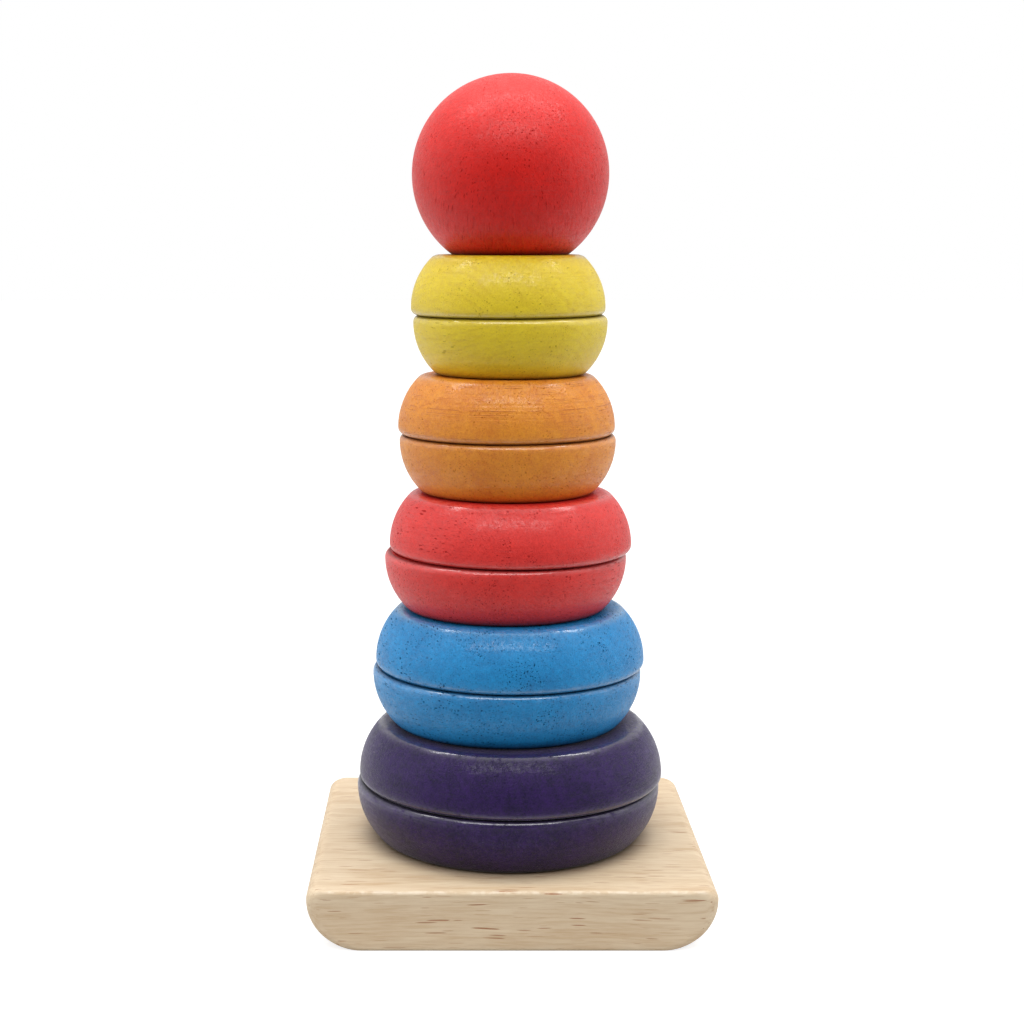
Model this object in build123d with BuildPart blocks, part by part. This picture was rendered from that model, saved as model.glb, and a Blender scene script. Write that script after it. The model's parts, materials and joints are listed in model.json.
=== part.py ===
from build123d import *
import math
import os

# Stacking ring toy: a board with an upright peg, five pairs of turned half rings that
# slide over the peg, and a ball that caps it. Millimetres, +Z up, origin in the middle
# of the board's underside. The wide sides of the board face -Y (front) and +Y (back).

# Every ring and the base are made from the same planed stock.
stock_thickness = 16.0

# Base board
base_width = 106.0
base_depth = 98.0
end_top_round = 3.2
end_flat = 0.2
end_bottom_round = stock_thickness - end_top_round - end_flat
base_corner_round = 4.0
base_edge_round = 1.1

# Half rings, from the base up: colour and outer radius
ring_sizes = (
    ("purple", 42.0),
    ("blue", 37.0),
    ("red", 33.1),
    ("orange", 29.4),
    ("yellow", 26.2),
)
side_radius = 19.0
rim_round = 1.8
shoulder_round = 2.8
bore_chamfer = 0.8

# Peg, and the play that lets the rings slide down it freely
peg_radius = 7.5
ring_play = 1.25
bore_radius = peg_radius + ring_play
socket_depth = 8.0
peg_tip_round = 3.0
peg_tip_gap = 3.0
pilot_spare_depth = 1.0

# How far each half ring has settled to the side of the peg, within its play
ring_shift = {
    "purple_lower": 0.0,
    "purple_upper": 0.75,
    "blue_lower": -0.4,
    "blue_upper": 0.4,
    "red_lower": -0.9,
    "red_upper": 0.4,
    "orange_lower": -0.45,
    "orange_upper": -0.8,
    "yellow_lower": 0.2,
    "yellow_upper": -0.45,
}

# Ball
ball_radius = 26.2
ball_seat_drop = 21.1
ball_play = 0.6
ball_bore_radius = peg_radius + ball_play
ball_bore_depth = 27.0
ball_seat_round = 0.8

# Countersunk wood screw, up through the base into the peg
screw_radius = 2.0
screw_core_radius = 1.4
screw_head_radius = 3.8
screw_rim = 0.3
screw_inset = 0.5
screw_length = 30.0
screw_tip_length = 4.0
thread_pitch = 1.8
thread_half_width = 0.45
thread_root_overlap = 0.15
recess_width = 1.1
recess_span = 4.4
recess_depth = 1.7
recess_taper = 12.0
screw_clearance = 0.1

# Heights worked out from the above
base_top = stock_thickness
stack_top = base_top + 2 * len(ring_sizes) * stock_thickness
peg_bottom = base_top - socket_depth
peg_top = stack_top + ball_bore_depth - peg_tip_gap
ball_centre = stack_top + ball_seat_drop
countersink_radius = screw_head_radius + screw_inset + screw_rim
neck_height = screw_inset + screw_rim + screw_head_radius - screw_radius
screw_end = screw_inset + screw_length

os.makedirs("parts", exist_ok=True)


# ---- base -------------------------------------------------------------------------

with BuildPart() as base:
    # End profile: a tight round at the top and a wide round down to the underside
    with BuildSketch(Plane.XZ) as base_profile:
        with Locations((0, stock_thickness / 2)):
            Rectangle(base_width, stock_thickness)
        fillet(base_profile.vertices().group_by(Axis.Y)[-1], end_top_round)
        fillet(base_profile.vertices().group_by(Axis.Y)[0], end_bottom_round)
    extrude(amount=base_depth / 2, both=True)
    # Sharp edges of the front and back faces eased by sanding
    fillet(base.faces().filter_by(Axis.Y).edges(), base_edge_round)
    # Corners rounded in plan
    with BuildSketch(Plane.XY):
        RectangleRounded(base_width, base_depth, base_corner_round)
    extrude(amount=stock_thickness, mode=Mode.INTERSECT)
    # Socket for the peg, and the screw's hole from below
    with BuildSketch(Plane.XY.offset(base_top)):
        Circle(peg_radius)
    extrude(amount=-socket_depth, mode=Mode.SUBTRACT)
    with Locations(base.faces().sort_by(Axis.Z)[0]):
        CounterSinkHole(
            radius=screw_radius + screw_clearance,
            counter_sink_radius=countersink_radius,
            counter_sink_angle=90,
        )

base.part.label = "base"
export_step(base.part, "parts/base.step")


# ---- peg --------------------------------------------------------------------------

with BuildPart() as peg:
    with BuildSketch(Plane.XY.offset(peg_bottom)):
        Circle(peg_radius)
    extrude(amount=peg_top - peg_bottom)
    fillet(peg.edges().sort_by(Axis.Z)[-1], peg_tip_round)
    with BuildSketch(Plane.XY.offset(peg_bottom)):
        Circle(screw_core_radius)
    extrude(amount=screw_end + pilot_spare_depth - peg_bottom, mode=Mode.SUBTRACT)

peg.part.label = "peg"
export_step(peg.part, "parts/peg.step")


# ---- peg screw --------------------------------------------------------------------

with BuildPart() as peg_screw:
    # Head, plain neck, threaded core and point, turned as one profile
    with BuildSketch(Plane.XZ):
        with BuildLine():
            Polyline(
                (0, screw_inset),
                (screw_head_radius, screw_inset),
                (screw_head_radius, screw_inset + screw_rim),
                (screw_radius, neck_height),
                (screw_radius, peg_bottom),
                (screw_core_radius, peg_bottom + screw_radius - screw_core_radius),
                (screw_core_radius, screw_end - screw_tip_length),
                (0, screw_end),
                close=True,
            )
        make_face()
    revolve(axis=Axis.Z)
    # Thread: a sharp ridge that winds up the core
    thread_start = peg_bottom + thread_pitch
    with BuildLine():
        winding = Helix(
            pitch=thread_pitch,
            height=screw_end - screw_tip_length - thread_start,
            radius=screw_core_radius,
            center=(0, 0, thread_start),
        )
    with BuildSketch(Plane.XZ):
        with BuildLine():
            root = screw_core_radius - thread_root_overlap
            Polyline(
                (root, thread_start - thread_half_width),
                (screw_radius, thread_start),
                (root, thread_start + thread_half_width),
                close=True,
            )
        make_face()
    sweep(path=winding, is_frenet=True)
    # Cross recess for the driver
    with BuildSketch(Plane.XY.offset(screw_inset)):
        Rectangle(recess_span, recess_width)
        Rectangle(recess_width, recess_span)
    extrude(amount=recess_depth, taper=recess_taper, mode=Mode.SUBTRACT)

peg_screw.part.label = "peg_screw"
export_step(peg_screw.part, "parts/peg_screw.step")


# ---- half rings -------------------------------------------------------------------

def half_ring(name, radius, wide_face, up):
    """Build and export one turned half ring. wide_face is the height of its wide face.

    up is 1 where the ring rises from that face and -1 where it hangs below it.
    """
    shift = ring_shift[name]
    side_angle = math.degrees(math.asin((stock_thickness - rim_round) / side_radius))
    # Local Y runs from the wide face to the narrow face
    section = Plane(origin=(shift, 0, wide_face), x_dir=(1, 0, 0), z_dir=(0, -up, 0))
    with BuildPart() as ring:
        with BuildSketch(section) as ring_profile:
            with BuildLine():
                Line((bore_radius, 0), (radius - rim_round, 0))
                CenterArc((radius - rim_round, rim_round), rim_round, -90, 90)
                side = CenterArc((radius - side_radius, rim_round), side_radius, 0, side_angle)
                Line(side @ 1, (bore_radius, stock_thickness))
                Line((bore_radius, stock_thickness), (bore_radius, 0))
            make_face()
            narrow_face = ring_profile.vertices().group_by(Axis.Y)[-1]
            fillet(narrow_face.sort_by(Axis.X)[-1], shoulder_round)
            chamfer(ring_profile.vertices().group_by(Axis.X)[0], bore_chamfer)
        revolve(axis=Axis((shift, 0, 0), (0, 0, 1)))
    ring.part.label = name
    export_step(ring.part, f"parts/{name}.step")


for pair, (colour, outer_radius) in enumerate(ring_sizes):
    meeting_face = base_top + (2 * pair + 1) * stock_thickness
    half_ring(f"{colour}_lower", outer_radius, meeting_face, up=-1)
    half_ring(f"{colour}_upper", outer_radius, meeting_face, up=1)


# ---- ball -------------------------------------------------------------------------

with BuildPart() as top_ball:
    with Locations((0, 0, ball_centre)):
        Sphere(ball_radius)
    # Flat seat, which rests on the topmost ring
    split(bisect_by=Plane.XY.offset(stack_top), keep=Keep.TOP)
    fillet(top_ball.edges().group_by(Axis.Z)[0], ball_seat_round)
    # Blind bore over the peg's end
    with BuildSketch(Plane.XY.offset(stack_top)):
        Circle(ball_bore_radius)
    extrude(amount=ball_bore_depth, mode=Mode.SUBTRACT)
    seat_circles = top_ball.edges().filter_by(GeomType.CIRCLE).group_by(Axis.Z)[0]
    chamfer(seat_circles.sort_by(SortBy.RADIUS)[0], bore_chamfer)

top_ball.part.label = "top_ball"
export_step(top_ball.part, "parts/top_ball.step")
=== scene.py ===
import json
import math

import bpy
import numpy as np
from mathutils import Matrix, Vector


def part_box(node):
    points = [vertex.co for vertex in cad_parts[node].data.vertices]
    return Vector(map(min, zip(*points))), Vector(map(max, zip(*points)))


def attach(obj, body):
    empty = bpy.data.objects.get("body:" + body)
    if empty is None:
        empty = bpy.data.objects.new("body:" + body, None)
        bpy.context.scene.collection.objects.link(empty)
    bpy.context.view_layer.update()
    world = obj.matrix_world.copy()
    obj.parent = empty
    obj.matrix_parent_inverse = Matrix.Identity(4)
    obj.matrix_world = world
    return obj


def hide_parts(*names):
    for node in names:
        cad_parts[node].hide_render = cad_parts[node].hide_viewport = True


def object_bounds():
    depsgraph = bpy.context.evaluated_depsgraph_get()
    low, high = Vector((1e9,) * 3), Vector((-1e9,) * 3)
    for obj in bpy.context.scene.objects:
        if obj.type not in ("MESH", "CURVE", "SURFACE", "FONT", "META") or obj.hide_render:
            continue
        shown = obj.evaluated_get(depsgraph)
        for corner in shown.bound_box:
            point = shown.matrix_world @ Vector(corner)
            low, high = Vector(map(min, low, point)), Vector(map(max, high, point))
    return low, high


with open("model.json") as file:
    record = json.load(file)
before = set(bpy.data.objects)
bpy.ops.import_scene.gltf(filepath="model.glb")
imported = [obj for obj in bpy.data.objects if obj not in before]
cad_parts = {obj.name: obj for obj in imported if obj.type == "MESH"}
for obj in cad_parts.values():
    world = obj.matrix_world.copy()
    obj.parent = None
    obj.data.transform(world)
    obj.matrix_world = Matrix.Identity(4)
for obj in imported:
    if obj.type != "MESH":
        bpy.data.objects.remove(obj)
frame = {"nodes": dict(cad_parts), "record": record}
cad_low, cad_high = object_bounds()

# Stacking ring toy: turned, stained half rings and ball, over a bare board and peg.
# Everything is in metres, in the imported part's own frame.

MM = 0.001
TINY = 1e-7

# How finely the surfaces are divided
ROUND_STEPS = 240
RIM_STEPS = 12
SIDE_STEPS = 56
SHOULDER_STEPS = 14
FLAT_STEPS = 8
BORE_STEPS = 6
BALL_STEPS = 110
PEG_STEPS = 80
TIP_STEPS = 14
END_TOP_STEPS = 14
END_BOTTOM_STEPS = 28
BOARD_SLICES = 30

# Edges that bend more than this stay crisp
TURNED_CREASE_ANGLE = 38
BOARD_CREASE_ANGLE = 32

# Turning profile shared by all half rings
SIDE_RADIUS = 19.0 * MM
RIM_ROUND = 1.8 * MM
SHOULDER_ROUND = 2.8 * MM
BORE_CHAMFER = 0.8 * MM
RING_PLAY = 1.25 * MM

# What hand turning leaves on a half ring
OUT_OF_ROUND = 0.035 * MM
SANDED_OFF = 0.06 * MM
SCORE_COUNT = 7
SCORE_DEPTH = 0.05 * MM
SCORE_WIDTH = 0.16 * MM

# How far the painted shade spreads from the line where two pieces meet
CONTACT_SHADE_SPREAD = 0.5 * MM

# How wide the band is that handling wears or polishes; the board's band is a painted highlight
# instead
RIM_WEAR = 1.2 * MM
RIM_WEAR_HEIGHT = 1.6 * MM
SHOULDER_WEAR = 1.3 * MM
TIP_WEAR = 2.0 * MM
BOARD_HIGHLIGHT_EDGE = 0.55 * MM
BOARD_HIGHLIGHT_BRIM = 0.7 * MM

# Ball, peg and board details that a bounding box doesn't give
BALL_RADIUS = 26.2 * MM
BALL_SEAT_ROUND = 0.8 * MM
BALL_BORE_PLAY = 0.6 * MM
BALL_BORE_DEPTH = 27.0 * MM
PEG_TIP_ROUND = 3.0 * MM
PILOT_RADIUS = 1.4 * MM
PILOT_TOP = 31.5 * MM
END_TOP_ROUND = 3.2 * MM
END_BOTTOM_ROUND = 12.6 * MM
CORNER_ROUND = 4.0 * MM
EDGE_ROUND = 1.1 * MM
SCREW_HOLE_RADIUS = 2.1 * MM
COUNTERSINK_RADIUS = 4.6 * MM

COLOURS = ("purple", "blue", "red", "orange", "yellow")

# Open pores in the stained wood, in millimetres: coarse ones with fine ones between them
PORE_SPACING = 0.90
PORE_WIDTH = 0.23
FINE_PORE_SPACING = 0.60
FINE_PORE_WIDTH = 0.19

# Refractive index of the wax
COAT_INDEX = 1.9
SHEEN_ROUGHNESS = 0.35

# Colours that the wood and the steel are mixed from
WOOD_LIGHT = (0.745, 0.602, 0.420, 1)
WOOD_WARM = (0.600, 0.430, 0.260, 1)
WOOD_FINE_FLECK = (0.50, 0.29, 0.15, 1)
WOOD_FLECK = (0.36, 0.140, 0.055, 1)
# The next two are painted light: a shadow round the lowest ring, and a highlight on the board's
# edges (also the peg's worn tip)
PAINTED_RING_SHADOW = (0.22, 0.15, 0.12, 1)
WOOD_WEAR_AND_HIGHLIGHT = (0.90, 0.82, 0.69, 1)
ZINC = (0.62, 0.63, 0.62, 1)
ZINC_DULL = (0.50, 0.49, 0.45, 1)
ZINC_SCRATCH = (0.32, 0.31, 0.30, 1)
WHITE = (1, 1, 1, 1)


# ---- mesh tools -------------------------------------------------------------------

def arc(centre, radius, start, end, steps):
    """Points (r, z) on an arc; the angles are in degrees, from the r axis towards z."""
    points = []
    for angle in np.radians(np.linspace(start, end, steps)):
        points.append((centre[0] + radius * math.cos(angle),
                       centre[1] + radius * math.sin(angle)))
    return points


def straight(start, end, steps):
    """Points between start and end, without the ends themselves."""
    first, last = np.array(start), np.array(end)
    shares = np.linspace(0, 1, steps + 2)[1:-1]
    return [tuple(first + share * (last - first)) for share in shares]


def new_object(name, points, faces):
    mesh = bpy.data.meshes.new(name)
    mesh.from_pydata([tuple(p) for p in points], [], faces)
    mesh.validate()
    mesh.shade_smooth()
    obj = bpy.data.objects.new(name, mesh)
    bpy.context.scene.collection.objects.link(obj)
    return obj


def turned(name, outline, centre, relief=None):
    """A closed solid of revolution. outline goes round the half section, inside on the left.

    relief(r, z, angle) is what the surface stands proud there.
    """
    points, rings = [], []
    for r, z in outline:
        if r < TINY:
            rings.append([len(points)])
            points.append((centre[0], centre[1], z))
            continue
        rings.append(list(range(len(points), len(points) + ROUND_STEPS)))
        for step in range(ROUND_STEPS):
            angle = 2 * math.pi * step / ROUND_STEPS
            grown = r + (relief(r, z, angle) if relief else 0.0)
            x = centre[0] + grown * math.cos(angle)
            y = centre[1] + grown * math.sin(angle)
            points.append((x, y, z))
    faces = []
    for here, there in zip(rings, rings[1:] + rings[:1]):
        if len(here) == 1 and len(there) == 1:
            continue
        for step in range(ROUND_STEPS):
            after = (step + 1) % ROUND_STEPS
            if len(here) == 1:
                faces.append((here[0], there[after], there[step]))
            elif len(there) == 1:
                faces.append((here[step], here[after], there[0]))
            else:
                faces.append((here[step], here[after], there[after], there[step]))
    obj = new_object(name, points, faces)
    obj.data.set_sharp_from_angle(angle=math.radians(TURNED_CREASE_ANGLE))
    return obj


def bell(distance, width):
    """1 at no distance, falling off smoothly over the width."""
    return np.exp(-(distance / width) ** 2)


def mark(obj, name, values):
    """Stores one number a vertex, for the materials to read."""
    layer = obj.data.attributes.new(name, "FLOAT", "POINT")
    layer.data.foreach_set("value", np.asarray(values, np.float32))


def positions(obj):
    flat = np.zeros(len(obj.data.vertices) * 3, np.float32)
    obj.data.vertices.foreach_get("co", flat)
    return flat.reshape(-1, 3).astype(float)


def cut(obj, cutter):
    """Takes cutter out of obj, then deletes cutter."""
    boolean = obj.modifiers.new("cut", "BOOLEAN")
    boolean.operation = "DIFFERENCE"
    boolean.solver = "EXACT"
    boolean.object = cutter
    graph = bpy.context.evaluated_depsgraph_get()
    whole = bpy.data.meshes.new_from_object(obj.evaluated_get(graph))
    obj.modifiers.clear()
    obj.data = whole
    bpy.data.objects.remove(cutter)


# ---- shader tools -----------------------------------------------------------------

class Shader:
    """Short forms for building a node tree; sockets and plain numbers can be mixed."""

    def __init__(self, tree):
        self.tree = tree
        self.tree.nodes.clear()

    def node(self, kind, settings=None, **inputs):
        made = self.tree.nodes.new(kind)
        for key, value in (settings or {}).items():
            setattr(made, key, value)
        for key, value in inputs.items():
            self.feed(made.inputs[key.replace("_", " ")], value)
        return made

    def feed(self, socket, value):
        if isinstance(value, bpy.types.NodeSocket):
            self.tree.links.new(value, socket)
        else:
            socket.default_value = value

    def math(self, operation, first, second=0.0, clamp=False):
        made = self.node("ShaderNodeMath", {"operation": operation, "use_clamp": clamp})
        self.feed(made.inputs[0], first)
        self.feed(made.inputs[1], second)
        return made.outputs[0]

    def vector(self, operation, first, second=(0, 0, 0)):
        made = self.node("ShaderNodeVectorMath", {"operation": operation})
        self.feed(made.inputs[0], first)
        self.feed(made.inputs[1], second)
        return made.outputs[0]

    def step(self, value, low, high, out_low=0.0, out_high=1.0):
        """Smooth step from out_low at low to out_high at high."""
        made = self.node("ShaderNodeMapRange", {"interpolation_type": "SMOOTHSTEP"})
        for index, number in enumerate((value, low, high, out_low, out_high)):
            self.feed(made.inputs[index], number)
        return made.outputs[0]

    def mix(self, share, first, second):
        made = self.node("ShaderNodeMix", {"data_type": "RGBA"})
        self.feed(made.inputs[0], share)
        self.feed(made.inputs[6], first)
        self.feed(made.inputs[7], second)
        return made.outputs[2]

    def noise(self, vector, scale, detail=2.0, roughness=0.5):
        made = self.node("ShaderNodeTexNoise", Vector=vector, Scale=scale, Detail=detail,
                         Roughness=roughness)
        return made.outputs["Fac"]

    def attribute(self, name):
        return self.node("ShaderNodeAttribute", {"attribute_name": name}).outputs["Fac"]


def grain_space(s, centre, turn=0.0, lean=None):
    """Millimetres from the middle of a piece, swung so that the grain runs along X.

    turn swings a level grain round Z. With a lean the grain stands up instead, tipped by
    that much towards the front.
    """
    place = s.node("ShaderNodeTexCoord").outputs["Object"]
    place = s.vector("SUBTRACT", place, centre)
    mapping = s.node("ShaderNodeMapping", {"vector_type": "POINT"}, Vector=place)
    mapping.inputs["Scale"].default_value = (1 / MM, 1 / MM, 1 / MM)
    swing = (0, 0, -turn) if lean is None else (-lean, 90, 0)
    mapping.inputs["Rotation"].default_value = [math.radians(angle) for angle in swing]
    return mapping.outputs[0]


def stretch(s, place, length):
    return s.vector("MULTIPLY", place, (1 / length, 1, 1))


def pore_mask(s, place, length, spacing, width, share):
    """Short open vessels along the grain: dots where the grain ends, dashes along the sides."""
    cells = s.node("ShaderNodeTexVoronoi", Vector=stretch(s, place, length), Scale=1 / spacing)
    draw = s.node("ShaderNodeSeparateColor", Color=cells.outputs["Color"])
    reach = s.step(draw.outputs[1], 0.0, 1.0, 0.6 * width / spacing, 1.2 * width / spacing)
    near = s.step(cells.outputs["Distance"], s.math("MULTIPLY", reach, 0.65), reach, 1.0, 0.0)
    kept = s.step(draw.outputs[0], 0.98 - share, 1.02 - share)
    return s.math("MULTIPLY", near, kept)


def growth_lines(s, place, pith, spacing, wander):
    """Thin late-wood lines round a pith that runs along the grain, at (y, z) = pith."""
    from_pith = s.vector("SUBTRACT", place, (0, pith[0], pith[1]))
    across = s.vector("MULTIPLY", from_pith, (0, 1, 1))
    length = s.node("ShaderNodeVectorMath", {"operation": "LENGTH"})
    s.feed(length.inputs[0], across)
    drift = s.noise(stretch(s, place, 3.0), 0.05, 3.0)
    ring = s.math("ADD", length.outputs["Value"], s.math("MULTIPLY", drift, wander))
    wave = s.math("SINE", s.math("MULTIPLY", ring, 2 * math.pi / spacing))
    patch = s.step(s.noise(place, 0.10, 2.0), 0.38, 0.62, 0.15, 1.0)
    return s.math("MULTIPLY", s.step(wave, 0.0, 0.95), patch)


def bumped(s, height, strength):
    return s.node("ShaderNodeBump", Height=height, Strength=strength, Distance=0.2 * MM).outputs[0]


def finish_surface(s, colour, roughness, normal):
    body = s.node("ShaderNodeBsdfPrincipled", Base_Color=colour, Roughness=roughness,
                  Normal=normal)
    output = s.node("ShaderNodeOutputMaterial")
    s.feed(output.inputs["Surface"], body.outputs[0])
    return body


def new_material(name):
    material = bpy.data.materials.new(name)
    material.use_nodes = True
    return material, Shader(material.node_tree)


def total(s, *terms):
    """Adds up (value, share) pairs."""
    value = 0.0
    for term, share in terms:
        value = s.math("ADD", value, s.math("MULTIPLY", term, share))
    return value


def stained_wood(name, centre, stain, deep, seed, turn=90.0, lean=None, pith=(6, -20), lines=0.2,
                 bore=1.0, mottled=1.0, pores=0.5, density=0.5, length=4.5, dark=0.25, lathe=0.3,
                 rough=0.45, shine=0.5, coat=0.1, burnish=0.5, gloss=0.15, pale=0.25, sheen=0.0):
    """Satin stain over turned hardwood. stain is the usual colour, deep where it soaked in.

    Grain: turn and lean as in grain_space, pith and lines for the growth lines. Colour: mottled
    for how uneven it is, pale for how far the edges are rubbed. Pores: how much they show, their
    density, their length, their bore and how dark they are. Surface: lathe for scored lines,
    rough and shine for the wood, coat, burnish and gloss for the wax, sheen for its dust.
    """
    material, s = new_material(name)
    straight_place = grain_space(s, centre, turn, lean)
    place = s.vector("ADD", straight_place, (13.0 * seed, 7.0 * seed, 5.0 * seed))
    mottle = s.step(s.noise(place, 0.11, 3.0, 0.55), 0.35, 0.68)
    cloud = s.step(s.noise(place, 0.50, 4.0, 0.6), 0.35, 0.68)
    fibre = s.step(s.noise(stretch(s, place, 9.0), 1.5, 3.0, 0.65), 0.38, 0.66)
    fleck = s.step(s.noise(stretch(s, place, 2.0), 2.6, 4.0, 0.75), 0.40, 0.62)
    rings = growth_lines(s, straight_place, pith, 2.2, 7.0)
    soak = total(s, (mottle, 0.26), (cloud, 0.24), (fibre, 0.24), (fleck, 0.40),
                 (rings, lines))
    soak = s.math("MULTIPLY", soak, mottled, clamp=True)
    colour = s.mix(soak, stain, deep)
    # Turning marks run round the piece, so they follow the distance along the profile
    along = s.attribute("along")
    track = s.node("ShaderNodeTexNoise", {"noise_dimensions": "1D"}, W=along, Scale=2.6,
                   Detail=4.0, Roughness=0.75).outputs["Fac"]
    scored = s.step(track, 0.58, 0.68)
    broken = s.step(s.noise(place, 0.16, 3.0), 0.44, 0.56)
    scored = s.math("MULTIPLY", s.math("MULTIPLY", scored, broken), lathe)
    colour = s.mix(s.math("MULTIPLY", scored, 0.8), colour, deep)
    # Open pores hold extra stain
    crowd = s.step(s.noise(place, 0.10, 2.0), 0.40, 0.60, 0.30, 1.0)
    ragged = s.node("ShaderNodeTexNoise", Vector=place, Scale=1.8, Detail=1.0).outputs["Color"]
    ragged = s.vector("SUBTRACT", ragged, (0.5, 0.5, 0.5))
    vessels = s.vector("ADD", place, s.vector("MULTIPLY", ragged, (0.4, 0.4, 0.4)))
    open_pores = pore_mask(s, vessels, length, PORE_SPACING, PORE_WIDTH * bore, 0.8 * density)
    fine_pores = pore_mask(s, vessels, 1.3 * length, FINE_PORE_SPACING, FINE_PORE_WIDTH * bore,
                           density)
    pore = s.math("MAXIMUM", open_pores, s.math("MULTIPLY", fine_pores, 0.75))
    pore = s.math("MULTIPLY", s.math("MULTIPLY", pore, crowd), pores)
    black = tuple(channel * dark for channel in deep[:3]) + (1,)
    colour = s.mix(pore, colour, black)
    # Handling rubs the stain thin on the rim and shoulder
    spots = s.step(s.noise(place, 0.55, 4.0, 0.65), 0.46, 0.66)
    rub = s.math("MULTIPLY", s.attribute("edge_wear_and_highlight"), spots)
    worn = tuple(0.55 * channel + 0.32 for channel in stain[:3]) + (1,)
    colour = s.mix(s.math("MULTIPLY", rub, pale), colour, worn)
    # Painted shade where two pieces meet, darkest right at the contact
    painted_shade = tuple(channel * 0.2 for channel in deep[:3]) + (1,)
    colour = s.mix(s.math("MULTIPLY", s.attribute("painted_contact_shade"), 0.85), colour, painted_shade)
    uneven = s.step(s.noise(place, 1.1, 4.0, 0.65), 0.35, 0.65)
    roughness = total(s, (uneven, 0.16), (pore, 0.25), (s.attribute("painted_contact_shade"), 0.3))
    roughness = s.math("ADD", rough - 0.08, roughness, clamp=True)
    ripple = s.noise(stretch(s, place, 3.0), 0.9, 4.0, 0.6)
    height = total(s, (pore, -0.4), (fibre, 0.15), (fleck, -0.28 * mottled), (scored, -0.6),
                   (ripple, 0.5))
    body = finish_surface(s, colour, roughness, bumped(s, height, 0.6))
    # The wax has stayed in patches; rims and shoulders are burnished, open pores are dull
    patches = s.step(s.noise(stretch(s, place, 1.6), 1.0, 5.0, 0.75), 0.44, 0.60, 0.3, 1.7)
    even = s.step(s.noise(place, 0.7, 3.0), 0.24, 0.48)
    polish = s.math("MULTIPLY", s.attribute("edge_wear_and_highlight"), even)
    closed = s.math("SUBTRACT", 1.0, pore)
    wax = total(s, (polish, burnish), (patches, coat))
    s.feed(body.inputs["Coat Weight"], s.math("MULTIPLY", wax, closed))
    body.inputs["Coat Roughness"].default_value = gloss
    body.inputs["Coat IOR"].default_value = COAT_INDEX
    body.inputs["Sheen Weight"].default_value = sheen
    body.inputs["Sheen Roughness"].default_value = SHEEN_ROUGHNESS
    s.feed(body.inputs["Coat Normal"], bumped(s, ripple, 0.25))
    s.feed(body.inputs["Specular IOR Level"], s.math("MULTIPLY", closed, shine))
    return material


def bare_wood(name, centre, seed, lean=None, flecks=1.0, ring_shadow=0.0):
    """Pale, sanded, unstained hardwood with brown vessel flecks along the grain.

    The last argument is the radius, in metres, of the painted shadow that a ring casts on it.
    """
    material, s = new_material(name)
    straight_place = grain_space(s, centre, 0.0, lean)
    place = s.vector("ADD", straight_place, (13.0 * seed, 7.0 * seed, 5.0 * seed))
    waver = s.node("ShaderNodeTexNoise", Vector=stretch(s, place, 2.0), Scale=0.03, Detail=2.0)
    shift = s.vector("SUBTRACT", waver.outputs["Color"], (0.5, 0.5, 0.5))
    place = s.vector("ADD", place, s.vector("MULTIPLY", shift, (0, 5, 5)))
    bands = growth_lines(s, straight_place, (26, -38), 4.5, 10.0)
    wide = s.step(s.noise(stretch(s, place, 8.0), 0.24, 3.0, 0.55), 0.35, 0.68)
    fibre = s.step(s.noise(stretch(s, place, 20.0), 1.5, 4.0, 0.7), 0.40, 0.62)
    tone = total(s, (bands, 0.22), (wide, 0.48), (fibre, 0.40))
    colour = s.mix(s.math("MINIMUM", tone, 1.0), WOOD_LIGHT, WOOD_WARM)
    crowd = s.step(s.noise(stretch(s, place, 2.0), 0.07, 2.0), 0.36, 0.58, 0.3, 1.0)
    dashes = pore_mask(s, place, 16.0, 0.80, 0.20, 0.72)
    fine = pore_mask(s, place, 13.0, 0.65, 0.17, 0.55)
    dash = s.math("MULTIPLY", s.math("MULTIPLY", dashes, crowd), 0.9 * flecks)
    colour = s.mix(s.math("MULTIPLY", fine, 0.40 * flecks), colour, WOOD_FINE_FLECK)
    colour = s.mix(dash, colour, WOOD_FLECK)
    if ring_shadow:
        # Painted shadow round where the lowest ring's edge stands, on the top face only
        spot = s.node("ShaderNodeTexCoord").outputs["Object"]
        rise = s.node("ShaderNodeSeparateXYZ", Vector=spot).outputs[2]
        on_top = s.step(rise, centre[2], centre[2] + 5 * MM)
        ground = s.vector("MULTIPLY", spot, (1, 1, 0))
        reach = s.node("ShaderNodeVectorMath", {"operation": "LENGTH"})
        s.feed(reach.inputs[0], ground)
        reach = reach.outputs["Value"]
        shadow_out = s.step(reach, ring_shadow - 1 * MM, ring_shadow + 5 * MM, 1.0, 0.0)
        shadow_in = s.step(reach, ring_shadow - 8 * MM, ring_shadow - 5 * MM)
        painted_shadow = s.math("MULTIPLY", s.math("MULTIPLY", shadow_out, shadow_in), on_top)
        painted_shadow = s.math("MULTIPLY", painted_shadow, 0.42)
        colour = s.mix(painted_shadow, colour, PAINTED_RING_SHADOW)
    # Painted highlight along the board's front and back top edges; paler wood at the peg's worn
    # tip
    spots = s.step(s.noise(place, 0.5, 3.0), 0.4, 0.65)
    edge_wear_and_highlight = s.math("MULTIPLY", s.attribute("edge_wear_and_highlight"), spots)
    colour = s.mix(s.math("MULTIPLY", edge_wear_and_highlight, 0.5), colour, WOOD_WEAR_AND_HIGHLIGHT)
    roughness = s.math("ADD", 0.5, s.math("MULTIPLY", fibre, 0.14), clamp=True)
    height = total(s, (dash, -0.9), (fine, -0.3), (fibre, 0.3))
    finish_surface(s, colour, roughness, bumped(s, height, 0.35))
    return material


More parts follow.
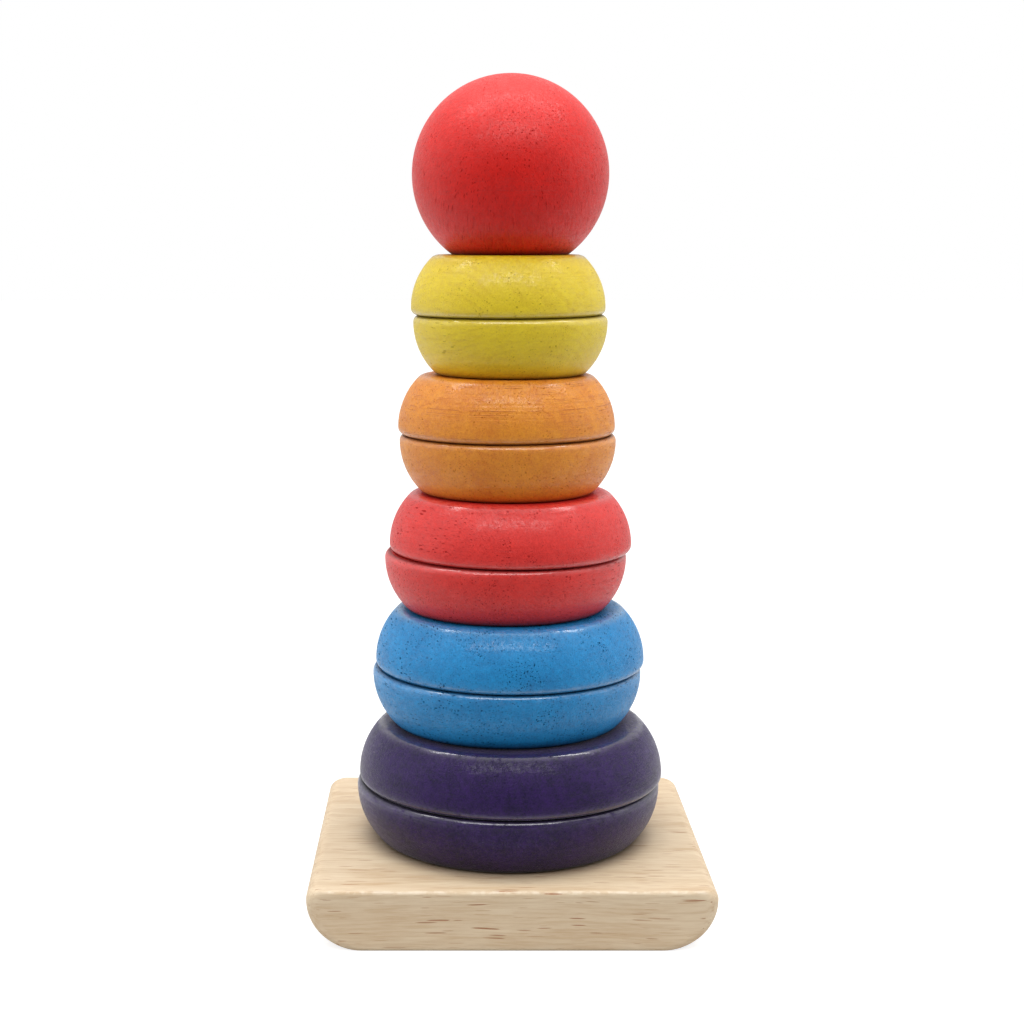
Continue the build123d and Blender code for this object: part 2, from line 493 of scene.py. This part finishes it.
def zinc_steel():
    """Plated screw steel with fine scratches from the driver."""
    material, s = new_material("zinc_steel")
    place = grain_space(s, (0, 0, 0))
    haze = s.noise(place, 2.5, 4.0, 0.65)
    scratch = s.step(s.noise(stretch(s, place, 10.0), 6.0, 3.0, 0.7), 0.5, 0.7)
    colour = s.mix(haze, ZINC, ZINC_DULL)
    colour = s.mix(s.math("MULTIPLY", scratch, 0.3), colour, ZINC_SCRATCH)
    roughness = s.math("ADD", 0.26, s.math("MULTIPLY", haze, 0.2))
    body = finish_surface(s, colour, roughness, bumped(s, scratch, 0.25))
    body.inputs["Metallic"].default_value = 1.0
    return material


# ---- pieces -----------------------------------------------------------------------

def place_piece(obj, node, material):
    """Puts a finished piece in the CAD node's place, on the body that the node is part of."""
    obj.data.materials.clear()
    obj.data.materials.append(material)
    bodies = frame["record"]["behaviour"]["bodies"]
    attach(obj, next(body for body, members in bodies.items() if node in members))
    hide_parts(node)


def ring_outline(radius, bore, thickness):
    """Half section of a half ring: wide face at height 0, narrow face at the thickness."""
    rise = thickness - SHOULDER_ROUND - RIM_ROUND
    reach = math.sqrt((SIDE_RADIUS - SHOULDER_ROUND) ** 2 - rise ** 2)
    turn = math.degrees(math.atan2(rise, reach))
    side_centre = (radius - SIDE_RADIUS, RIM_ROUND)
    shoulder_centre = (radius - SIDE_RADIUS + reach, thickness - SHOULDER_ROUND)
    mouth = bore + BORE_CHAMFER
    outline = [(mouth, 0)]
    outline += straight((mouth, 0), (radius - RIM_ROUND, 0), FLAT_STEPS)
    outline += arc((radius - RIM_ROUND, RIM_ROUND), RIM_ROUND, -90, 0, RIM_STEPS)
    outline += arc(side_centre, SIDE_RADIUS, 0, turn, SIDE_STEPS)[1:]
    outline += arc(shoulder_centre, SHOULDER_ROUND, turn, 90, SHOULDER_STEPS)[1:]
    outline += straight((shoulder_centre[0], thickness), (mouth, thickness), FLAT_STEPS)
    outline += [(mouth, thickness), (bore, thickness - BORE_CHAMFER)]
    outline += straight((bore, thickness - BORE_CHAMFER), (bore, BORE_CHAMFER), BORE_STEPS)
    outline += [(bore, BORE_CHAMFER)]
    return outline


def along_profile(outline):
    """Distance run along a turned piece's outline, in millimetres, once for every vertex."""
    span = 0.0
    before = outline[0]
    values = []
    for r, z in outline:
        span += math.hypot(r - before[0], z - before[1]) / MM
        before = (r, z)
        values += [span] * (1 if r < TINY else ROUND_STEPS)
    return values


def half_ring(name, upper, material, seed, score):
    """One half ring, wide face down if it is an upper one. score is how deep its lines are."""
    low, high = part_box(name)
    thickness = high.z - low.z
    radius = (high.x - low.x) / 2
    centre = ((low.x + high.x) / 2, 0.0)
    peg_low, peg_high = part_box("peg")
    bore = (peg_high.x - peg_low.x) / 2 + RING_PLAY
    section = ring_outline(radius, bore, thickness)
    generator = np.random.default_rng(seed)
    lobes = []
    for count in (2, 3, 5):
        phase = generator.uniform(0, 2 * math.pi)
        lobes.append((count, phase, generator.uniform(0.4, 1.0)))
    tracks = generator.uniform(0.35, 0.95, SCORE_COUNT) * thickness

    def relief(r, z, angle):
        """Slight out-of-round from turning and sanding, and scored lines near the shoulder."""
        if r < bore + 2 * BORE_CHAMFER:
            return 0.0
        local = z - low.z if upper else high.z - z
        share = min(1.0, (r - bore) / (radius - bore))
        swell = sum(size * math.sin(count * angle + phase) for count, phase, size in lobes)
        swell = OUT_OF_ROUND * swell * share - SANDED_OFF * share
        groove = sum(bell(local - track, SCORE_WIDTH) for track in tracks)
        return swell - score * SCORE_DEPTH * groove

    outline = [(r, low.z + z) if upper else (r, high.z - z) for r, z in section]
    if not upper:
        outline = outline[::-1]
    obj = turned(f"{name}_wood", outline, centre, relief)
    mark(obj, "along", along_profile(outline))
    co = positions(obj)
    reach = np.hypot(co[:, 0] - centre[0], co[:, 1] - centre[1])
    local = co[:, 2] - low.z if upper else high.z - co[:, 2]
    rim = bell(reach - radius, RIM_WEAR) * bell(local, RIM_WEAR_HEIGHT)
    flat_edge = ring_flat(radius, thickness)
    shoulder = bell(reach - flat_edge - 1.0 * MM, SHOULDER_WEAR)
    shoulder *= bell(thickness - local - 0.5 * MM, RIM_WEAR)
    mark(obj, "edge_wear_and_highlight", np.clip(rim + shoulder, 0, 1))
    # Painted shade at the rim, where the two halves of a pair meet
    painted_contact_shade = bell(local, CONTACT_SHADE_SPREAD) * (reach > radius - RIM_ROUND)
    if not upper:
        # The narrow face of a lower half stands on the piece below, so it gets painted shade there
        # too
        painted_contact_shade += bell(thickness - local, 2 * CONTACT_SHADE_SPREAD) * (reach > flat_edge)
    mark(obj, "painted_contact_shade", np.clip(painted_contact_shade, 0, 1))
    place_piece(obj, name, material)


def ring_flat(radius, thickness):
    """Radius at which a half ring's narrow flat face ends."""
    rise = thickness - SHOULDER_ROUND - RIM_ROUND
    return radius - SIDE_RADIUS + math.sqrt((SIDE_RADIUS - SHOULDER_ROUND) ** 2 - rise ** 2)


def make_ball(material):
    low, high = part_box("top_ball")
    peg_low, peg_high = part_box("peg")
    bore = (peg_high.x - peg_low.x) / 2 + BALL_BORE_PLAY
    centre = high.z - BALL_RADIUS
    drop = centre - low.z
    inner = BALL_RADIUS - BALL_SEAT_ROUND
    seat = math.sqrt(inner ** 2 - (drop - BALL_SEAT_ROUND) ** 2)
    meet = math.degrees(math.atan2(-(drop - BALL_SEAT_ROUND), seat))
    bore_end = low.z + BALL_BORE_DEPTH
    mouth = bore + BORE_CHAMFER
    outline = [(0, bore_end)]
    outline += straight((0, bore_end), (bore, bore_end), 3)
    outline += [(bore, bore_end)]
    outline += straight((bore, bore_end), (bore, low.z + BORE_CHAMFER), FLAT_STEPS)
    outline += [(bore, low.z + BORE_CHAMFER), (mouth, low.z)]
    outline += straight((mouth, low.z), (seat, low.z), 4)
    outline += arc((seat, low.z + BALL_SEAT_ROUND), BALL_SEAT_ROUND, -90, meet, 8)
    outline += arc((0, centre), BALL_RADIUS, meet, 90, BALL_STEPS)[1:-1]
    outline += [(0, centre + BALL_RADIUS)]
    obj = turned("top_ball_wood", outline, (0, 0))
    mark(obj, "along", along_profile(outline))
    co = positions(obj)
    outside = np.hypot(co[:, 0], co[:, 1]) > seat
    # Painted shade round the ball's foot, where it sits on the ring below
    mark(obj, "painted_contact_shade", bell(co[:, 2] - low.z, 2.5 * CONTACT_SHADE_SPREAD) * outside)
    place_piece(obj, "top_ball", material)


def make_peg(material):
    low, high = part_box("peg")
    radius = (high.x - low.x) / 2
    outline = [(0, PILOT_TOP), (PILOT_RADIUS, PILOT_TOP), (PILOT_RADIUS, low.z)]
    outline += straight((PILOT_RADIUS, low.z), (radius, low.z), 3)
    outline += [(radius, low.z)]
    tip = (radius - PEG_TIP_ROUND, high.z - PEG_TIP_ROUND)
    outline += straight((radius, low.z), (radius, tip[1]), PEG_STEPS)
    outline += arc(tip, PEG_TIP_ROUND, 0, 90, TIP_STEPS)
    outline += straight((tip[0], high.z), (0, high.z), 4)
    outline += [(0, high.z)]
    obj = turned("peg_wood", outline, (0, 0))
    mark(obj, "edge_wear_and_highlight", bell(positions(obj)[:, 2] - high.z + 1.2 * MM, TIP_WEAR))
    place_piece(obj, "peg", material)


def board_slice(half_width, inset, height):
    """Outline (x, z) of the board cut across at one depth, drawn in by inset."""
    top = END_TOP_ROUND - inset
    bottom = END_BOTTOM_ROUND - inset
    width = half_width - inset
    low, high = inset, height - inset
    right = arc((width - bottom, low + bottom), bottom, -90, 0, END_BOTTOM_STEPS)
    right += arc((width - top, high - top), top, 0, 90, END_TOP_STEPS)
    run = straight((0, low), (width - bottom, low), 20)
    cap = straight((width - top, high), (0, high), 24)
    side = [(0, low)] + run + right + cap
    left = [(-x, z) for x, z in reversed(side[1:])]
    return side + [(0, high)] + left


def rounding(distance, radius):
    """How far a rounded edge has drawn in, at a distance from the face it ends on."""
    if distance >= radius:
        return 0.0
    return radius - math.sqrt(radius ** 2 - (radius - distance) ** 2)


def make_board(material):
    low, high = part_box("base")
    half_width = (high.x - low.x) / 2
    half_depth = (high.y - low.y) / 2
    height = high.z - low.z
    # Slices are close together where the edge and the corner are round
    near = [EDGE_ROUND * (1 - math.cos(t)) for t in np.linspace(0, math.pi / 2, 7)]
    near += list(np.linspace(EDGE_ROUND, CORNER_ROUND, 8)[1:])
    far = 2 * half_depth - CORNER_ROUND
    middle = list(np.linspace(CORNER_ROUND, far, BOARD_SLICES)[1:-1])
    depths = near + middle + [2 * half_depth - d for d in reversed(near)]
    points, slices = [], []
    for depth in depths:
        distance = min(depth, 2 * half_depth - depth)
        inset = rounding(distance, EDGE_ROUND)
        narrowed = half_width - rounding(distance, CORNER_ROUND) + 0.5 * inset
        outline = board_slice(narrowed, inset, height)
        slices.append(list(range(len(points), len(points) + len(outline))))
        points += [(x, low.y + depth, z) for x, z in outline]
    faces = []
    for front, back in zip(slices, slices[1:]):
        for i in range(len(front)):
            j = (i + 1) % len(front)
            faces.append((front[i], front[j], back[j], back[i]))
    faces.append(tuple(reversed(slices[0])))
    faces.append(tuple(slices[-1]))
    obj = new_object("base_board", points, faces)
    peg_low, peg_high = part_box("peg")
    peg_radius = (peg_high.x - peg_low.x) / 2
    socket = [(0, peg_low.z), (peg_radius, peg_low.z), (peg_radius, height + MM),
              (0, height + MM)]
    cut(obj, turned("socket_cutter", socket, (0, 0)))
    cone_top = COUNTERSINK_RADIUS - SCREW_HOLE_RADIUS
    screw_hole = [(0, -MM), (COUNTERSINK_RADIUS + MM, -MM), (COUNTERSINK_RADIUS, 0),
                  (SCREW_HOLE_RADIUS, cone_top), (SCREW_HOLE_RADIUS, peg_low.z + MM),
                  (0, peg_low.z + MM)]
    cut(obj, turned("screw_cutter", screw_hole, (0, 0)))
    obj.data.shade_smooth()
    obj.data.set_sharp_from_angle(angle=math.radians(BOARD_CREASE_ANGLE))
    co = positions(obj)
    # Painted highlight along the top edges of the front and back faces
    face_edge = bell(half_depth - np.abs(co[:, 1]) - 0.35 * MM, BOARD_HIGHLIGHT_EDGE)
    brim = bell(height - co[:, 2], BOARD_HIGHLIGHT_BRIM)
    mark(obj, "edge_wear_and_highlight", np.clip(face_edge * brim, 0, 1))
    place_piece(obj, "base", material)


# ---- studio -----------------------------------------------------------------------

def make_floor():
    """White paper, four metres to each side."""
    reach = 4.0
    points = [(-reach, -reach, 0), (reach, -reach, 0), (reach, reach, 0), (-reach, reach, 0)]
    floor = new_object("studio_floor", points, [(0, 1, 2, 3)])
    material, s = new_material("studio_paper")
    paper = s.noise(s.node("ShaderNodeTexCoord").outputs["Object"], 40.0, 2.0)
    white = s.mix(paper, (0.34, 0.34, 0.34, 1), (0.36, 0.36, 0.36, 1))
    diffuse = s.node("ShaderNodeBsdfDiffuse", Color=white)
    glow = s.node("ShaderNodeEmission", Strength=0.82)
    both = s.node("ShaderNodeAddShader")
    s.feed(both.inputs[0], diffuse.outputs[0])
    s.feed(both.inputs[1], glow.outputs[0])
    # Only the camera sees the glow. The toy gets what the paper reflects, less at the front
    path = s.node("ShaderNodeLightPath")
    choose = s.node("ShaderNodeMixShader")
    s.feed(choose.inputs[0], path.outputs["Is Camera Ray"])
    spot = s.node("ShaderNodeTexCoord").outputs["Object"]
    depth = s.node("ShaderNodeSeparateXYZ", Vector=spot).outputs[1]
    share = s.step(depth, -0.14, -0.06, 0.25, 0.66)
    bounce = s.node("ShaderNodeBsdfDiffuse", Color=share)
    s.feed(choose.inputs[1], bounce.outputs[0])
    s.feed(choose.inputs[2], both.outputs[0])
    output = s.node("ShaderNodeOutputMaterial")
    s.feed(output.inputs["Surface"], choose.outputs[0])
    floor.data.materials.append(material)


def make_tent():
    """A white light tent: bright overhead, at the sides and behind, dim at the camera."""
    world = bpy.data.worlds.new("light_tent")
    bpy.context.scene.world = world
    world.use_nodes = True
    s = Shader(world.node_tree)
    direction = s.node("ShaderNodeTexCoord").outputs["Generated"]
    axes = s.node("ShaderNodeSeparateXYZ", Vector=direction)
    x, y, z = axes.outputs
    forward = s.step(y, -0.7, 0.7, 1.5, 1.0)
    overhead = s.math("MULTIPLY", s.step(z, 0.60, 0.88), forward)
    sides = s.math("MULTIPLY", s.math("POWER", s.math("ABSOLUTE", x), 1.5), 0.60)
    behind = s.step(y, -0.2, 0.9, 0.0, 0.50)
    level = s.math("ADD", s.math("ADD", overhead, sides), s.math("ADD", behind, 0.06))
    path = s.node("ShaderNodeLightPath")
    soft = s.node("ShaderNodeBackground", Strength=level)
    seen = s.node("ShaderNodeBackground", Strength=1.0)
    seen.inputs["Color"].default_value = WHITE
    soft.inputs["Color"].default_value = WHITE
    choose = s.node("ShaderNodeMixShader")
    s.feed(choose.inputs[0], path.outputs["Is Camera Ray"])
    s.feed(choose.inputs[1], soft.outputs[0])
    s.feed(choose.inputs[2], seen.outputs[0])
    output = s.node("ShaderNodeOutputWorld")
    s.feed(output.inputs["Surface"], choose.outputs[0])


def soft_box(name, place, width, height, power):
    """A rectangular lamp that faces the middle of the toy. power is in watts."""
    target = Vector((0, 0, (cad_low.z + cad_high.z) / 2))
    lamp = bpy.data.lights.new(name, "AREA")
    lamp.shape = "RECTANGLE"
    lamp.size = width
    lamp.size_y = height
    lamp.energy = power
    obj = bpy.data.objects.new(name, lamp)
    bpy.context.scene.collection.objects.link(obj)
    obj.location = place
    obj.rotation_euler = (target - Vector(place)).to_track_quat("-Z", "Y").to_euler()
    obj.visible_camera = False


def make_lights():
    soft_box("top_box", (0.0, 0.10, 1.15), width=1.80, height=0.16, power=6.3)
    soft_box("front_box", (0.0, -0.60, 0.92), width=1.20, height=0.24, power=3.7)
    soft_box("left_box", (-0.75, -0.05, 0.45), width=0.45, height=0.7, power=0.5)
    soft_box("right_box", (0.75, -0.05, 0.45), width=0.45, height=0.7, power=0.5)
    soft_box("back_box", (0.0, 0.7, 0.7), width=0.7, height=0.4, power=0.3)


# Camera: level with the ball, a little to the left, looking down at the board
CAMERA_DISTANCE = 488.8 * MM
CAMERA_SIDE = -14.4 * MM
CAMERA_OVER_BOARD = 167.5 * MM
CAMERA_PITCH = 8.98
CAMERA_LENS = 63.6
CAMERA_SENSOR = 36.0
CAMERA_SHIFT = 0.0545


def make_camera():
    lens = bpy.data.cameras.new("camera")
    lens.lens = CAMERA_LENS
    lens.sensor_width = CAMERA_SENSOR
    lens.shift_x = CAMERA_SHIFT
    obj = bpy.data.objects.new("camera", lens)
    bpy.context.scene.collection.objects.link(obj)
    board_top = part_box("base")[1].z
    obj.location = (CAMERA_SIDE, -CAMERA_DISTANCE, board_top + CAMERA_OVER_BOARD)
    obj.rotation_euler = (math.radians(90 - CAMERA_PITCH), 0, 0)
    bpy.context.scene.camera = obj


# ---- stain colours ----------------------------------------------------------------

STAINS = {
    "purple": ((0.038, 0.011, 0.115, 1), (0.010, 0.004, 0.038, 1)),
    "blue": ((0.014, 0.310, 0.700, 1), (0.003, 0.150, 0.400, 1)),
    "red": ((0.880, 0.042, 0.033, 1), (0.580, 0.012, 0.012, 1)),
    "orange": ((0.930, 0.360, 0.022, 1), (0.660, 0.160, 0.010, 1)),
    "yellow": ((0.930, 0.720, 0.020, 1), (0.660, 0.430, 0.008, 1)),
    "ball": ((0.880, 0.014, 0.008, 1), (0.540, 0.004, 0.003, 1)),
}

# How each colour's wood took the stain. Both halves of a pair are alike
LOOKS = {
    "purple": dict(lines=0.10, mottled=1.1, pores=0.40, density=0.35, rough=0.50, shine=0.22,
                   coat=0.06, burnish=1.0, gloss=0.08, pale=0.0, sheen=0.30),
    "blue": dict(lines=0.12, mottled=0.80, pores=0.95, density=0.75, dark=0.28, rough=0.48,
                 shine=0.34, coat=0.14, burnish=0.9, gloss=0.14, pale=0.25),
    "red": dict(lines=0.10, mottled=0.75, pores=0.80, density=0.5, dark=0.55, rough=0.44,
                shine=0.40, coat=0.12, burnish=0.7, gloss=0.16, pale=0.12),
    "orange": dict(lines=0.12, mottled=0.85, pores=0.80, density=0.5, dark=0.75, rough=0.46,
                   shine=0.42, coat=0.14, burnish=0.7, gloss=0.16, pale=0.12),
    "yellow": dict(lines=0.30, mottled=0.6, pores=0.65, density=0.4, dark=0.55, rough=0.44,
                   shine=0.42, coat=0.16, burnish=0.9, gloss=0.15, pale=0.15),
    "ball": dict(lean=38.0, pith=(45, 10), lines=0.05, bore=0.9, mottled=0.65, pores=0.8,
                 density=0.8, length=20.0, dark=0.7, lathe=0.4, rough=0.42, shine=0.32,
                 coat=0.09, gloss=0.27, sheen=0.10),
}
BALL_SEED = 12


def ring_foot(node):
    """Radius of the circle that a lower half ring stands on."""
    low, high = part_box(node)
    return ring_flat((high.x - low.x) / 2, high.z - low.z) + SHOULDER_ROUND


def piece_centre(node):
    low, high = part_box(node)
    return ((low.x + high.x) / 2, (low.y + high.y) / 2, (low.z + high.z) / 2)


def make_rings():
    for index, colour in enumerate(COLOURS):
        stain, deep = STAINS[colour]
        for half in ("lower", "upper"):
            name = f"{colour}_{half}"
            upper = half == "upper"
            seed = 2 * index + upper + 1
            turn = 90 + 35 * math.sin(2.3 * seed)
            # One half ring has kept its turning lines, the others are sanded smoother
            score = 1.0 if name == "orange_upper" else 0.25
            material = stained_wood(f"{name}_stain", piece_centre(name), stain, deep, seed, turn,
                                    lathe=1.6 * score, **LOOKS[colour])
            half_ring(name, upper, material, seed, score)


make_board(bare_wood("board_wood", piece_centre("base"), 1, ring_shadow=ring_foot("purple_lower")))
make_peg(bare_wood("dowel_wood", piece_centre("peg"), 2, lean=0.0, flecks=0.6))
make_rings()
make_ball(stained_wood("ball_wood_stain", piece_centre("top_ball"), *STAINS["ball"], BALL_SEED,
                       **LOOKS["ball"]))
screw = frame["nodes"]["peg_screw"]
screw.data.materials.clear()
screw.data.materials.append(zinc_steel())

make_floor()
make_tent()
make_lights()
make_camera()
bpy.context.scene.view_settings.view_transform = "Standard"
bpy.context.scene.view_settings.look = "None"
